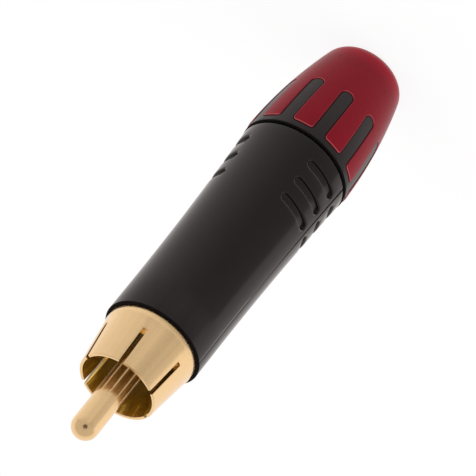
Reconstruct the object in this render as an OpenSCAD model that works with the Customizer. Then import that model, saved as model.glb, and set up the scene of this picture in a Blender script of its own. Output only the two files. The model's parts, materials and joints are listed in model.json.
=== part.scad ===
// Phono plug for a soldered cable, standing on the rear face of its cap with the pin upwards.
// Z is the axis of the plug. All lengths are in millimetres.

/* [Centre pin] */
// Diameter of the centre pin
pin_d = 3.18; // [3.1:0.02:3.3]
// Reach of the pin past the mouth of the ring
pin_reach = 7.9; // [7:0.1:9]
// Diameter of the shank inside the insulator
shank_d = 2.4; // [2.2:0.1:2.8]
// Length of the solder tail behind the insulator
tail_len = 5.5; // [4.5:0.5:6.5]
// Bore of the solder cup in the tail
cup_d = 1.6; // [1.2:0.1:1.8]
// Depth of the solder cup
cup_depth = 3.5; // [2.5:0.1:4]

/* [Ground ring] */
// Outer diameter of the ring at its mouth
ring_mouth_d = 9.5; // [9.2:0.02:9.7]
// Outer diameter of the ring where it meets its band
ring_root_d = 10.94; // [10.5:0.02:11]
// Diameter of the band in front of the shell
band_d = 11.2; // [11.02:0.02:11.3]
// Length of the band along the axis
band_len = 0.9; // [0.7:0.05:1.4]
// Length of the bevel from the band to the ring
band_bevel = 0.6; // [0.1:0.05:0.8]
// Length of the ring from the shell's front face to its mouth
ring_len = 7.2; // [6.5:0.05:8]
// Bore of the ring
ring_bore_d = 8.4; // [8.2:0.05:8.5]
// Height of the ring's floor above the shell's front face
ring_floor = 0.7; // [0.3:0.05:0.8]
// Rounding of the ring's rim
rim_round = 0.1; // [0.06:0.02:0.24]
// Number of slots in the ring
slot_count = 6; // [4:1:8]
// Width of a slot
slot_w = 0.44; // [0.3:0.02:0.7]
// Length of a slot from the mouth
slot_len = 4.85; // [3.5:0.05:5.2]
// Direction of the first slot
slot_angle = 19; // [0:1:59]

/* [Contact body] */
// Root diameter of the thread that holds the contact in the shell
contact_root_d = 9.7; // [9.5:0.05:9.8]
// Length of that thread
contact_thread_len = 5; // [4.5:0.1:6]
// Length of the collar that carries the sleeve
collar_len = 1.5; // [1:0.1:2.5]
// Width of the thread relief behind the band
relief_w = 0.6; // [0.4:0.1:1]
// Depth of the thread relief
relief_depth = 0.25; // [0.1:0.05:0.4]
// Length of the solder tongue behind the collar
tongue_len = 10; // [7:0.5:12]
// Wall of the solder tongue
tongue_wall = 0.65; // [0.5:0.05:0.8]
// Angle that the solder tongue covers
tongue_angle = 150; // [100:5:180]
// Diameter of the wire hole in the tongue
wire_hole_d = 1.5; // [1:0.1:2]
// Distance of the wire hole from the tongue's end
wire_hole_inset = 2.2; // [1.6:0.1:3]

/* [Insulator] */
// Diameter of the insulator's stem
stem_d = 6.4; // [5.6:0.1:6.8]
// Thickness of the insulator's head
head_t = 1.2; // [0.8:0.1:1.6]
// Length of the insulator that stands out behind the collar
stem_out = 0.8; // [0.4:0.1:1.5]

/* [Shell] */
// Length of the shell between its front face and its rear shoulder
shell_len = 29.95; // [29.5:0.05:33]
// Diameter of the shell at the front
shell_front_d = 12; // [11.8:0.05:12.6]
// Step from the cap's largest radius down to the shell's rear shoulder
shoulder_step = 0.21; // [0.1:0.01:0.4]
// Length over which the shell flares towards the rear
flare_len = 25.05; // [20:0.05:27]
// Rounding of the shell's front edge
shell_edge = 0.12; // [0.08:0.02:0.4]
// Bore of the shell around the sleeve
shell_bore_d = 9.9; // [9.85:0.05:10.2]
// Length of the front thread in the shell
shell_thread_len = 6; // [5.2:0.1:7]
// Height of the sleeve's seat above the rear shoulder
sleeve_seat = 5.1; // [3:0.1:6]
// Length of the rear spigot
spigot_len = 5; // [4.5:0.1:5.4]
// Wall of the rear spigot under its thread
spigot_wall = 0.8; // [0.7:0.05:0.9]

/* [Finger grooves] */
// Number of grooves in a set
groove_count = 3; // [1:1:4]
// Distance of the first groove from the rear shoulder
groove_first = 2.4; // [2:0.05:4]
// Distance between grooves
groove_pitch = 2.76; // [2:0.02:3.5]
// Width of a groove
groove_w = 1; // [0.6:0.05:1.4]
// Depth of a groove
groove_depth = 0.4; // [0.2:0.05:0.5]
// Angle from the middle of a face to the start of its grooves
groove_from = 41; // [28:1:50]
// Angle from the middle of a face to the end of its grooves
groove_to = 79; // [70:0.5:82]

/* [Parting lines] */
// Angle that a parting line of the shell's mould covers
parting_angle = 2.8; // [1:0.2:4]
// Depth of a parting line
parting_depth = 0.1; // [0.04:0.02:0.16]

/* [Sleeve] */
// Wall of the insulating sleeve
sleeve_wall = 0.45; // [0.35:0.05:0.5]

/* [Chuck] */
// Wall of the chuck's neck
neck_wall = 0.62; // [0.52:0.02:0.72]
// Length of the chuck's neck inside the spigot
neck_len = 5.6; // [5:0.1:7]
// Length of the chuck's collar
chuck_collar_len = 1.2; // [0.9:0.1:1.5]
// Length of the jaws behind the collar
jaw_len = 6.6; // [5.5:0.1:7]
// Wall of the jaws at their tips
jaw_tip_wall = 0.5; // [0.4:0.05:0.7]
// Number of jaws
jaw_count = 6; // [4:1:8]
// Width of the slot between jaws
jaw_slot_w = 0.8; // [0.5:0.1:1.2]
// Number of gripping ridges in the jaws
ridge_count = 4; // [2:1:5]
// Distance between gripping ridges
ridge_pitch = 1.3; // [1:0.1:1.5]
// Height of a gripping ridge
ridge_h = 0.3; // [0.1:0.05:0.4]
// Width of the two keys on the neck
key_w = 1.4; // [1:0.1:2]
// Height of the keys
key_h = 0.4; // [0.3:0.05:0.5]

/* [Cap] */
// Largest diameter of the cap
cap_d = 13.8; // [13.6:0.05:14.4]
// Length of the cap
cap_len = 16.6; // [16.2:0.05:17.5]
// Radius of the cap's barrelled side
cap_side_r = 66.4; // [60:0.1:90]
// Rise of the widest place past the cap's front face
cap_crown_rise = 0.4; // [0:0.1:1]
// Radius of the rounded rear end
cap_end_round = 2.4; // [2.2:0.05:2.8]
// Height of the centre of that rounding above the rear face
cap_end_rise = 2; // [1.7:0.05:2.1]
// Diameter of the cable hole
cable_d = 6.6; // [6.4:0.1:6.8]
// Width of the dark gap between cap and shell
seam = 0.35; // [0.1:0.05:0.4]
// Rounding of the edges at that gap
seam_round = 0.1; // [0.06:0.02:0.3]
// Wall of the cap's core around its thread
core_wall = 0.9; // [0.8:0.05:1]
// Thickness of the wall that closes the cap's core at the rear
core_end_t = 2.6; // [2:0.1:3]

/* [Grip] */
// Thickness of the soft grip over the core
grip_t = 0.7; // [0.5:0.05:0.75]
// Thickness of the soft grip at the rear end
grip_end_t = 0.8; // [0.6:0.05:1.2]
// Height by which the fingers stand proud of the ribs in the windows
grip_step = 0.1; // [0.06:0.02:0.3]
// Width of the core's bare front ring
front_ring = 0.84; // [0.6:0.02:1.5]
// Height by which the grip stands proud of that ring
ring_step = 0.12; // [0.02:0.02:0.2]
// Number of fingers
finger_count = 10; // [8:1:12]
// Direction of the first window between fingers
window_angle = 28; // [0:1:35]
// Width of a window
window_w = 1.5; // [1:0.05:1.8]
// Length of a window
window_len = 7.5; // [5:0.1:9]
// Rounding of the finger corners
finger_corner = 0.6; // [0.2:0.05:0.8]

/* [Clearances] */
// Radial running clearance of pieces that turn or slide
running_gap = 0.08; // [0.03:0.01:0.1]
// Radial room that holds the threads
thread_room = 0.3; // [0.2:0.05:0.35]
// Axial clearance at a seat
seat_gap = 0.1; // [0.05:0.01:0.15]
// Clearance between pieces moulded or pressed together
mould_gap = 0.02; // [0.01:0.01:0.03]

/* [Hidden] */
$fn = 96;

// Facets of the widest circles
FINE = 256;
// Straight steps that make up the flare of the shell
FLARE_STEPS = 16;
// Amount by which the rounded rear end crosses the cap's side
END_OVERLAP = 0.01;
// Height that the flat end of a finger takes off its corner roundings
CORNER_TRIM = 0.03;
// Overshoot of cuts past the faces that they open
OVER = 0.5;

// Heights along the axis
shell_rear_z = cap_len + seam;
shell_front_z = shell_rear_z + shell_len;
mouth_z = shell_front_z + ring_len;
tip_z = mouth_z + pin_reach;
floor_z = shell_front_z + ring_floor;
band_rear_z = shell_front_z + seat_gap;
band_front_z = shell_front_z + band_len;
thread_rear_z = band_rear_z - contact_thread_len;
collar_rear_z = thread_rear_z - collar_len;
tongue_rear_z = collar_rear_z - tongue_len;
stem_rear_z = collar_rear_z - stem_out;
tail_rear_z = stem_rear_z - tail_len;
seat_z = shell_rear_z + sleeve_seat;
sleeve_rear_z = seat_z + seat_gap;
sleeve_front_z = thread_rear_z - seat_gap;
spigot_rear_z = shell_rear_z - spigot_len;
chuck_collar_z = spigot_rear_z - seat_gap;
jaw_root_z = chuck_collar_z - chuck_collar_len;
jaw_tip_z = jaw_root_z - jaw_len;
neck_front_z = chuck_collar_z + neck_len;
finger_front_z = cap_len - front_ring;
window_rear_z = finger_front_z - window_len;

// Radii that pieces share
cap_r = cap_d / 2;
shell_front_r = shell_front_d / 2;
shell_rear_r = cap_r - shoulder_step;
pin_r = pin_d / 2;
shank_r = shank_d / 2;
ring_bore_r = ring_bore_d / 2;
contact_root_r = contact_root_d / 2;
shell_bore_r = shell_bore_d / 2;
sleeve_r = shell_bore_r - running_gap;
sleeve_bore_r = sleeve_r - sleeve_wall;
collar_r = sleeve_bore_r - running_gap;
tongue_r = collar_r;
stem_r = stem_d / 2;
spigot_r = cap_r - grip_t - core_wall - thread_room;
spigot_bore_r = spigot_r - spigot_wall;
neck_r = spigot_bore_r - running_gap;
chuck_bore_r = neck_r - neck_wall;
chuck_collar_r = spigot_r - running_gap;
jaw_tip_r = chuck_bore_r + jaw_tip_wall;
cable_r = cable_d / 2;

// Circles of the cap's outline: the barrelled side and the rounded rear end inside it
side_x = cap_r - cap_side_r;
side_z = cap_len + cap_crown_rise;
end_slope = (side_z - cap_end_rise) / (cap_side_r - cap_end_round);
end_x = side_x + (cap_side_r - cap_end_round) * sqrt(1 - end_slope * end_slope) + END_OVERLAP;

// Height at which the shell's flare leaves the front cylinder along its side
flare_z = shell_rear_z + flare_len;

GOLD = "gold";
BLACK = [0.12, 0.12, 0.13];
RED = [0.55, 0.12, 0.17];
NATURAL = [0.85, 0.85, 0.82];

// Rectangle between two radii and two heights, to be turned about the axis
module zone(r_in, z_low, r_out, z_high) {
    translate([r_in, z_low]) square([r_out - r_in, z_high - z_low]);
}

// Corner that a rounding removes; side and up give the way that the corner points
module corner(r, z, rounding, side, up) {
    difference() {
        translate([r, z]) mirror([side < 0 ? 1 : 0, 0]) mirror([0, up < 0 ? 1 : 0])
            translate([-rounding, -rounding]) square(rounding + OVER);
        translate([r - side * rounding, z - up * rounding]) circle(rounding);
    }
}

// Turned piece from the profile given as children
module turned() {
    rotate_extrude() children();
}

// Copies of the children in a ring, the first one at a given direction
module ring_of(count, first) {
    for (i = [0:count - 1]) rotate([0, 0, first + i * 360 / count]) children();
}

// Flat outline placed upright at a radius, drawn across and up, and extruded outwards
module radial_cut(r_in, depth) {
    rotate([90, 0, 90]) translate([0, 0, r_in]) linear_extrude(depth) children();
}

module center_pin() {
    cup_floor_z = tail_rear_z + cup_depth;
    color(GOLD) difference() {
        turned() {
            zone(0, tail_rear_z, shank_r, floor_z + OVER);
            zone(0, floor_z, pin_r, tip_z - pin_r);
            intersection() {
                translate([0, tip_z - pin_r]) circle(pin_r);
                zone(0, tip_z - pin_r, pin_r, tip_z);
            }
        }
        translate([0, 0, tail_rear_z - OVER]) cylinder(d = cup_d, h = cup_depth + OVER);
        translate([-shank_d, -shank_d - cup_d / 4, tail_rear_z - OVER])
            cube([2 * shank_d, shank_d, cup_depth / 2 + OVER]);
        translate([0, 0, cup_floor_z]) rotate([90, 0, 0]) cylinder(d = cup_d / 3, h = shank_d);
    }
}

module insulator() {
    color(BLACK) turned() difference() {
        union() {
            zone(0, floor_z - head_t, ring_bore_r - mould_gap, floor_z - mould_gap);
            zone(0, stem_rear_z, stem_r - mould_gap, floor_z - OVER);
        }
        zone(0, stem_rear_z - OVER, shank_r + mould_gap, floor_z + OVER);
    }
}

// Half section of the contact without its tongue
module contact_profile() {
    difference() {
        union() {
            polygon([[0, band_rear_z], [band_d / 2, band_rear_z], [band_d / 2, band_front_z],
                     [ring_root_d / 2, band_front_z + band_bevel], [ring_mouth_d / 2, mouth_z],
                     [0, mouth_z]]);
            zone(0, thread_rear_z, contact_root_r, band_rear_z + OVER);
            zone(0, collar_rear_z, collar_r, thread_rear_z + OVER);
        }
        zone(0, floor_z - head_t - mould_gap, ring_bore_r, mouth_z + OVER);
        zone(0, collar_rear_z - OVER, stem_r, mouth_z);
        zone(contact_root_r - relief_depth, band_rear_z - relief_w, contact_root_r + OVER, band_rear_z);
        corner(ring_mouth_d / 2, mouth_z, rim_round, 1, 1);
        corner(ring_bore_r, mouth_z, rim_round, -1, 1);
    }
}

module ground_contact() {
    color(GOLD) difference() {
        union() {
            turned() contact_profile();
            rotate([0, 0, -tongue_angle / 2]) rotate_extrude(angle = tongue_angle)
                zone(tongue_r - tongue_wall, tongue_rear_z, tongue_r, collar_rear_z + OVER);
        }
        ring_of(slot_count, slot_angle)
            radial_cut(stem_r, band_d)
                translate([-slot_w / 2, mouth_z - slot_len]) square([slot_w, slot_len + OVER]);
        translate([0, 0, tongue_rear_z + wire_hole_inset]) rotate([0, 90, 0])
            cylinder(d = wire_hole_d, h = band_d);
    }
}

// Half section of the shell, solid inside
module shell_outline() {
    difference() {
        union() {
            zone(0, flare_z, shell_front_r, shell_front_z);
            polygon(concat([[0, flare_z], [0, shell_rear_z]], flare_points(0)));
            zone(0, spigot_rear_z, spigot_r, shell_rear_z + OVER);
        }
        corner(shell_front_r, shell_front_z, shell_edge, 1, 1);
        corner(shell_rear_r, shell_rear_z, seam_round, 1, -1);
    }
}

// Groove that follows the shell's round side, with round ends
module finger_groove(z) {
    floor_r = shell_r_at(z) - groove_depth;
    span = groove_to - groove_from;
    translate([0, 0, z]) {
        rotate_extrude(angle = span)
            zone(floor_r, -groove_w / 2, floor_r + groove_depth + OVER, groove_w / 2);
        for (a = [0, span]) rotate([0, 0, a]) radial_cut(floor_r, groove_depth + OVER) circle(groove_w / 2);
    }
}

// Outer radius of the shell at a height, along a parabola in its flare
function shell_r_at(z) =
    shell_front_r + (shell_rear_r - shell_front_r) * pow(max(0, flare_z - z) / flare_len, 2);

// Points along the flare, set back from the surface by a depth
function flare_points(depth) =
    [for (i = [0:FLARE_STEPS]) let (z = shell_rear_z + i * flare_len / FLARE_STEPS)
        [shell_r_at(z) - depth, z]];

// Shallow line along the shell's side where the halves of its mould meet
module parting_line() {
    low_z = shell_rear_z - OVER;
    high_z = shell_front_z + OVER;
    rotate([0, 0, -parting_angle / 2]) rotate_extrude(angle = parting_angle)
        polygon(concat([[cap_r, high_z], [cap_r, low_z], [shell_rear_r - parting_depth, low_z]],
                       flare_points(parting_depth), [[shell_front_r - parting_depth, high_z]]));
}

module shell() {
    color(BLACK) difference() {
        turned() difference() {
            shell_outline();
            zone(0, spigot_rear_z - OVER, spigot_bore_r, shell_front_z);
            zone(0, seat_z, shell_bore_r, shell_front_z);
            zone(0, shell_front_z - shell_thread_len, contact_root_r + thread_room, shell_front_z + OVER);
        }
        for (face = [90, 270], side = [0, 1], i = [0:groove_count - 1])
            rotate([0, 0, face]) mirror([0, side]) rotate([0, 0, groove_from])
                finger_groove(shell_rear_z + groove_first + i * groove_pitch);
        ring_of(2, 0) parting_line();
        ring_of(2, 0) radial_cut(0, neck_r + key_h + running_gap)
            translate([-key_w / 2 - running_gap, spigot_rear_z - OVER])
                square([key_w + 2 * running_gap, neck_front_z + seat_gap - spigot_rear_z + OVER]);
    }
}

module insulating_sleeve() {
    color(NATURAL) turned() zone(sleeve_bore_r, sleeve_rear_z, sleeve_r, sleeve_front_z);
}

module chuck() {
    color(BLACK) difference() {
        union() {
            turned() difference() {
                union() {
                    zone(0, chuck_collar_z - OVER, neck_r, neck_front_z);
                    zone(0, jaw_root_z, chuck_collar_r, chuck_collar_z);
                    polygon([[0, jaw_tip_z], [jaw_tip_r, jaw_tip_z], [chuck_collar_r, jaw_root_z],
                             [0, jaw_root_z]]);
                }
                zone(0, jaw_tip_z - OVER, chuck_bore_r, neck_front_z + OVER);
            }
            for (i = [0:ridge_count - 1]) translate([0, 0, jaw_tip_z + (i + 0.5) * ridge_pitch])
                turned() polygon([[chuck_bore_r + ridge_h, -ridge_h], [chuck_bore_r - ridge_h, 0],
                                  [chuck_bore_r + ridge_h, ridge_h]]);
            ring_of(2, 0) translate([chuck_bore_r + ridge_h, -key_w / 2, chuck_collar_z])
                cube([neck_r + key_h - chuck_bore_r - ridge_h, key_w, neck_len]);
        }
        ring_of(jaw_count, 180 / jaw_count)
            radial_cut(0, cap_r)
                translate([-jaw_slot_w / 2, jaw_tip_z - OVER]) square([jaw_slot_w, jaw_len + OVER]);
    }
}

// Half section of the cap's outside, set back from the surface by a depth
module cap_outline(depth) {
    intersection() {
        translate([side_x, side_z]) circle(cap_side_r - depth, $fn = FINE);
        zone(0, 0, cap_r, cap_len);
        union() {
            translate([end_x, cap_end_rise]) circle(cap_end_round - depth);
            zone(0, 0, end_x, cap_len);
            zone(0, cap_end_rise - (cap_end_round - depth) * end_slope, cap_r, cap_len);
        }
    }
}

// Window between two fingers, drawn across and up, made smaller all round by a gap
module window_outline(gap) {
    half_w = window_w / 2;
    translate([0, window_rear_z + half_w]) circle(half_w - gap);
    translate([-half_w + gap, window_rear_z + half_w]) square([window_w - 2 * gap, window_len]);
    corner_z = finger_front_z - finger_corner + CORNER_TRIM;
    for (side = [0, 1]) mirror([side, 0]) difference() {
        translate([0, corner_z]) square([half_w + finger_corner, finger_corner + OVER]);
        translate([half_w + finger_corner, corner_z]) circle(finger_corner + gap);
    }
}

// Inside of the core: thread room, seat of the chuck's collar, cone for the jaws and cable hole
module core_bore() {
    journal_r = chuck_collar_r + running_gap;
    zone(0, spigot_rear_z - seat_gap, spigot_r + thread_room, cap_len + OVER);
    zone(0, jaw_root_z, journal_r, spigot_rear_z);
    polygon([[0, core_end_t], [jaw_tip_r + running_gap, core_end_t], [jaw_tip_r + running_gap, jaw_tip_z],
             [journal_r, jaw_root_z], [0, jaw_root_z]]);
    zone(0, -OVER, cable_r, core_end_t + OVER);
}

module cap_core() {
    color(BLACK) union() {
        turned() difference() {
            intersection() {
                cap_outline(grip_t);
                zone(0, grip_end_t, cap_r, cap_len);
            }
            core_bore();
        }
        turned() difference() {
            intersection() {
                cap_outline(ring_step);
                zone(spigot_r + thread_room, finger_front_z + mould_gap, cap_r, cap_len);
            }
            corner(cap_r - ring_step, cap_len, seam_round, 1, 1);
        }
        ring_of(finger_count, window_angle) intersection() {
            turned() intersection() {
                cap_outline(grip_step);
                zone(spigot_r + thread_room, window_rear_z, cap_r, cap_len - seam_round);
            }
            radial_cut(spigot_r, cap_r) window_outline(mould_gap);
        }
    }
}

module grip_boot() {
    color(RED) difference() {
        turned() difference() {
            cap_outline(0);
            intersection() {
                cap_outline(grip_t - mould_gap);
                zone(0, grip_end_t - mould_gap, cap_r, cap_len);
            }
            zone(0, -OVER, cable_r, cap_len);
            zone(0, finger_front_z, cap_r + OVER, cap_len + OVER);
        }
        ring_of(finger_count, window_angle) radial_cut(spigot_r, cap_r) window_outline(0);
    }
}

center_pin();
insulator();
ground_contact();
shell();
insulating_sleeve();
chuck();
cap_core();
grip_boot();
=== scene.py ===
"""Phono plug: the finished surfaces of a cable plug, laid out as an add-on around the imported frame."""
import json
import math

import bmesh
import bpy
from mathutils import Matrix, Vector


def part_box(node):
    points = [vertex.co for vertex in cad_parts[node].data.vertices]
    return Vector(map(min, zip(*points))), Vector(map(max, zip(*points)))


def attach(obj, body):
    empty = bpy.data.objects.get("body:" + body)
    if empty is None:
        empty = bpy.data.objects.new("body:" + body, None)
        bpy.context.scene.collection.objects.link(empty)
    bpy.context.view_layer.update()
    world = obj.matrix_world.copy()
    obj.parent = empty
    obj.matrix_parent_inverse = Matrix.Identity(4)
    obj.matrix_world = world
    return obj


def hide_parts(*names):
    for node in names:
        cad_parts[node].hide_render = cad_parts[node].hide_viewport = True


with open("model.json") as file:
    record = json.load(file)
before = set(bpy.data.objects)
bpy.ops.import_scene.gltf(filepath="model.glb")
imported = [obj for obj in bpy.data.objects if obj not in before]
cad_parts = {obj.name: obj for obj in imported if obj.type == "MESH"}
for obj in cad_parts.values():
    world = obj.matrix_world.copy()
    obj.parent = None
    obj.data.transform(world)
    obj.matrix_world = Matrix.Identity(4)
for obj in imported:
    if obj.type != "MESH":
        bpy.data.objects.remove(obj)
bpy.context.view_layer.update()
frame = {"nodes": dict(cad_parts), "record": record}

bl_info = {
    "name": "Phono plug",
    "version": (1, 0, 0),
    "blender": (4, 5, 0),
    "location": "3D View > Sidebar > Plug",
    "description": "Builds the finished pieces of a phono plug around its frame",
    "category": "Object",
}

MM = 0.001
FULL_TURN = 2 * math.pi
UP = Vector((0, 0, 1))
WHITE = (1, 1, 1)

# Heights along the axis that the frame gives
RING_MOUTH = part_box("ground_contact")[1].z
TONGUE_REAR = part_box("ground_contact")[0].z
SHELL_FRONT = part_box("shell")[1].z
SPIGOT_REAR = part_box("shell")[0].z
CAP_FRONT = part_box("cap_core")[1].z
FINGER_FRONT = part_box("grip_boot")[1].z

# Radii that the frame gives
BAND_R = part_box("ground_contact")[1].y
CABLE_R = next(m["dims"]["r_mm"] for m in frame["record"]["mounts"] if m["name"] == "cable_entry") * MM

# Fineness of the meshes
COLUMNS = 240
ARC_STEPS = 6
LIP_STEPS = 5
THREAD_ROWS = 16
HOLE_SIDES = 48
SHARP = math.radians(24)

# Rounded lips of the cutters: first angle of the arc, rise above the surface, and the cutter's top
LIP_START = math.radians(16)
LIP_ABOVE = 0.03 * MM
LIP_CLEAR = 0.4 * MM

# How far a tool reaches past what it cuts or joins, and a length too small to see
OVERLAP = 0.5 * MM
HAIR = 0.01 * MM

# Screw threads: the pitch, shares of the pitch, and the heights of the ridges
THREAD_PITCH = 1.0 * MM
THREAD_FOOT = 0.42
THREAD_FLANK = 0.28
THREAD_RUNOUT = 0.7
MALE_H = 0.24 * MM
FEMALE_H = 0.22 * MM

# Small broken edges
BAND_EDGE = 0.06 * MM
TURNED_EDGE = 0.1 * MM
HOLE_EDGE = 0.15 * MM

# Share of a parting line's depth that is lost where it has faded
PARTING_LOSS = 0.85

# Darkness of the painted shade on a dull rim beside a seam, against its own colour
PAINTED_SEAM_SHADE = 0.2

# Mesh attribute that tells how deep a place lies
DEPTH = "depth"

# Distances from the plug's axis at which the floor's dark side begins and changes in reflections:
# past what the rear of the cap, the shell and the pin mirror
PAST_CAP = (19 * MM, 27 * MM)
PAST_SHELL = (71 * MM, 74 * MM)
PAST_PIN = (92 * MM, 97 * MM)

# Soft boxes: turn from the camera's direction and elevation in degrees, distance and size in metres,
# and brightness
LAMPS = {
    "left_box": (-78, 30, 0.34, 0.30, 2.4),
    "right_box": (82, 22, 0.36, 0.26, 2.2),
    "top_box": (175, 70, 0.42, 0.34, 1.4),
}

# Half the floor's side and the camera's near limit in metres, and the camera's sensor in millimetres
FLOOR_HALF = 2
CLIP_START = 0.01
SENSOR_WIDTH = 36


def length(name, description, millimetres):
    """A length property, given in millimetres and kept in metres."""
    return bpy.props.FloatProperty(
        name=name, description=description, default=millimetres * MM, unit="LENGTH", precision=5)


def angle(name, description, degrees):
    """An angle property, given in degrees."""
    return bpy.props.FloatProperty(
        name=name, description=description, default=math.radians(degrees), subtype="ANGLE")


def share(name, description, value):
    """A property between nothing and all."""
    return bpy.props.FloatProperty(
        name=name, description=description, default=value, min=0, max=1, subtype="FACTOR")


def number(name, description, value):
    """A count property."""
    return bpy.props.IntProperty(name=name, description=description, default=value, min=1)


def colour(name, description, red, green, blue):
    """A colour property in linear light."""
    return bpy.props.FloatVectorProperty(
        name=name, description=description, default=(red, green, blue), size=3, min=0, max=1, subtype="COLOR")


class ContactSettings(bpy.types.PropertyGroup):
    """Sizes and finish of the gold-plated pin and split ring."""

    mouth_r: length("Mouth radius", "Outer radius of the ring at its mouth", 4.75)
    root_r: length("Root radius", "Outer radius of the ring where it meets its band", 5.47)
    bore_r: length("Ring bore", "Radius of the ring's bore", 4.2)
    lead: length("Lead-in", "Growth of the bore's radius towards the mouth", 0.2)
    lead_len: length("Lead-in length", "Length of the widening bore at the mouth", 2.2)
    floor_rise: length("Floor", "Height of the ring's floor above the shell's front face", 0.7)
    band_len: length("Band", "Length of the band in front of the shell", 0.9)
    band_bevel: length("Band bevel", "Length of the bevel from the band to the ring", 0.6)
    band_gap: length("Band gap", "Gap between the band and the shell's front face", 0.06)
    rim_round: length("Rim rounding", "Rounding of the ring's rim", 0.1)
    slots: number("Slots", "Number of slots in the ring", 6)
    slot_w: length("Slot width", "Width of a slot", 0.56)
    slot_len: length("Slot length", "Length of a slot from the mouth", 4.85)
    slot_angle: angle("Slot angle", "Direction of the first slot", 19)
    slot_edge: length("Slot edge", "Rounding of a slot's edges", 0.05)
    thread_r: length("Thread root", "Root radius of the thread behind the band", 4.85)
    thread_len: length("Thread length", "Length of that thread", 5.0)
    relief_w: length("Relief", "Width of the thread relief behind the band", 0.6)
    relief_depth: length("Relief depth", "Depth of the thread relief", 0.25)
    collar_r: length("Collar radius", "Radius of the collar that carries the sleeve", 4.34)
    collar_len: length("Collar length", "Length of that collar", 1.5)
    stem_r: length("Stem bore", "Radius of the bore for the insulator's stem", 3.2)
    head_t: length("Head pocket", "Depth of the pocket for the insulator's head", 1.22)
    tongue_wall: length("Tongue wall", "Wall of the solder tongue", 0.65)
    tongue_angle: angle("Tongue angle", "Angle that the solder tongue covers", 150)
    wire_hole_r: length("Wire hole", "Radius of the wire hole in the tongue", 0.75)
    wire_hole_inset: length("Wire hole inset", "Distance of the wire hole from the tongue's end", 2.2)
    plate: colour("Plate", "Colour of the gold plate", 0.94, 0.675, 0.345)
    # Painted reflection: a brighter, yellower plate colour for the bore, standing in for the tint of its
    # inner reflections
    bore: colour("Bore", "Colour of the gold plate in the ring's bore", 1.0, 0.76, 0.2)
    coat: share("Coat", "Strength of the clear gloss over the plate", 0.6)
    roughness: share("Roughness", "Roughness of the gold plate", 0.07)
    haze: share("Haze", "Roughness that fine hazy spots add", 0.3)


class ShellSettings(bpy.types.PropertyGroup):
    """Sizes and finish of the black shell."""

    front_r: length("Front radius", "Radius of the shell at the front", 6.0)
    rear_r: length("Rear radius", "Radius of the shell at its rear shoulder", 6.69)
    flare_len: length("Flare", "Length over which the shell flares towards the rear", 25.05)
    seam: length("Seam", "Width of the dark gap between cap and shell", 0.35)
    front_edge: length("Front edge", "Rounding of the shell's front edge", 0.12)
    rear_edge: length("Rear edge", "Rounding of the shell's rear edge", 0.1)
    bore_r: length("Bore", "Radius of the bore around the sleeve", 4.95)
    seat_rise: length("Seat", "Height of the sleeve's seat above the rear shoulder", 5.1)
    thread_bore_r: length("Thread bore", "Radius of the front bore for the contact's thread", 5.15)
    thread_len: length("Thread length", "Length of that bore", 6.0)
    spigot_r: length("Spigot", "Root radius of the thread on the rear spigot", 5.0)
    spigot_bore_r: length("Spigot bore", "Radius of the spigot's bore", 4.2)
    key_w: length("Keyway", "Width of the two keyways in the spigot's bore", 1.56)
    key_r: length("Keyway depth", "Radius of the keyways' floors", 4.6)
    key_len: length("Keyway length", "Length of the keyways from the spigot's end", 5.6)
    groove_count: number("Grooves", "Number of grooves in a set", 3)
    groove_first: length("First groove", "Distance of the first groove from the rear shoulder", 2.4)
    groove_pitch: length("Groove pitch", "Distance between grooves", 2.76)
    groove_w: length("Groove width", "Width of a groove", 1.0)
    groove_depth: length("Groove depth", "Depth of a groove", 0.4)
    groove_edge: length("Groove edge", "Rounding of a groove's edges", 0.22)
    groove_from: angle("Groove start", "Angle from the middle of a face to the start of its grooves", 41)
    groove_to: angle("Groove end", "Angle from the middle of a face to the end of its grooves", 79)
    parting_w: angle("Parting line", "Angle that a parting line of the mould covers", 2.8)
    parting_depth: length("Parting depth", "Depth of a parting line", 0.1)
    parting_fade: length("Parting fade", "Length over which a parting line grows shallow", 20)
    parting_edge: angle("Parting edge", "Angle that the sloped side of a parting line covers", 0.35)
    # Painted highlight: the lighter colour of the grooves' lips
    groove_lip_highlight: colour("Worn coat", "Colour of the coat on the lips of the grooves", 0.08, 0.07, 0.067)
    coat: colour("Coat", "Colour of the satin black coat", 0.0065, 0.0055, 0.0052)
    roughness: share("Roughness", "Roughness of the satin coat", 0.15)


class CapSettings(bpy.types.PropertyGroup):
    """Sizes and finish of the rear cap: its black core and its red grip."""

    cap_r: length("Cap radius", "Largest radius of the cap", 6.9)
    side_r: length("Side radius", "Radius of the cap's barrelled side", 66.4)
    crown_rise: length("Crown", "Rise of the widest place past the cap's front face", 0.4)
    end_round: length("End rounding", "Radius of the rounded rear end", 2.4)
    end_rise: length("End rise", "Height of the centre of that rounding", 2.0)
    grip_t: length("Grip wall", "Thickness of the soft grip over the core", 0.68)
    grip_end_t: length("Grip end", "Thickness of the soft grip at the rear end", 0.78)
    grip_edge: length("Grip edge", "Rounding of the grip's edges", 0.24)
    fingers: number("Fingers", "Number of fingers", 10)
    window_angle: angle("Window angle", "Direction of the first window between fingers", 28)
    window_w: length("Window width", "Width of a window", 1.5)
    window_len: length("Window length", "Length of a window", 7.5)
    finger_corner: length("Finger corner", "Rounding of the finger corners", 0.6)
    red: colour("Red", "Colour of the soft grip", 0.215, 0.0038, 0.0122)
    # Painted light: the brighter red of the grip's rear end stands in for the light it catches
    tail: colour("Grip tail", "Colour of the soft grip at its rear end", 0.36, 0.008, 0.024)
    # Painted highlight: the lighter colour of the grip's rounded lips
    lip: colour("Lip", "Colour of the grip's rounded lips", 0.46, 0.09, 0.105)
    red_roughness: share("Grip roughness", "Roughness of the soft grip", 0.3)
    black: colour("Black", "Colour of the core", 0.0105, 0.009, 0.0086)
    black_roughness: share("Core roughness", "Roughness of the core", 0.33)


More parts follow.
